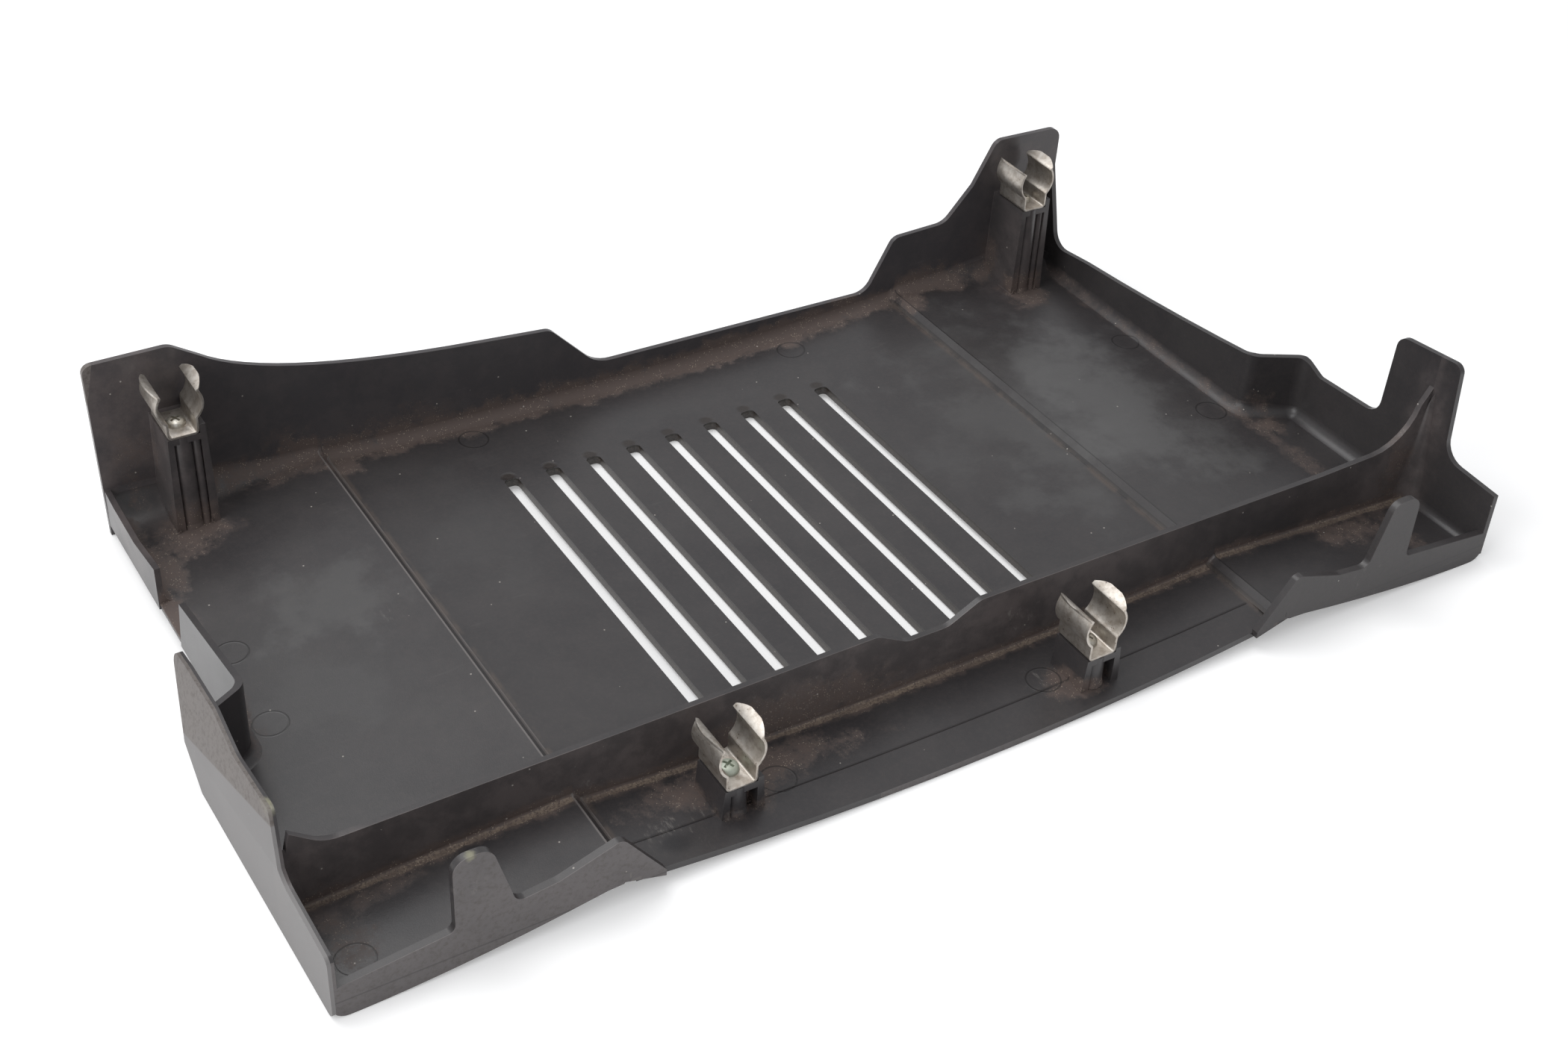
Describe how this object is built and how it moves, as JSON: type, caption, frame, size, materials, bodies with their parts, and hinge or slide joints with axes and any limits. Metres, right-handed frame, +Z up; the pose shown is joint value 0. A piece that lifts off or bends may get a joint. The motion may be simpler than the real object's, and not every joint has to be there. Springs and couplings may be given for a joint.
{
  "type": "engine cover",
  "caption": "Moulded plastic engine cover lying on its outer face, with a slotted panel, an inner rib, shaped upright walls and open steel spring clips screwed onto posts.",
  "frame": {"origin": "middle of the bounding box's underside, with the cover lying on its outer face", "axes": "+X along the cover's width towards its right side, +Y towards the back wall with the two tall towers, +Z up, out of the cover's engine side"},
  "size_m": [0.5317, 0.291, 0.0837],
  "materials": {
    "cover": "satin moulded black plastic, dusty",
    "clip": "plain spring steel, slightly pitted",
    "screw": "dull zinc plating"
  },
  "bodies": {
    "root": {"cover": "cover", "rear_left_clip": "clip", "rear_right_clip": "clip", "front_left_clip": "clip", "front_right_clip": "clip", "rear_left_screw": "screw", "rear_right_screw": "screw", "front_left_screw": "screw", "front_right_screw": "screw"}
  },
  "joints": []
}
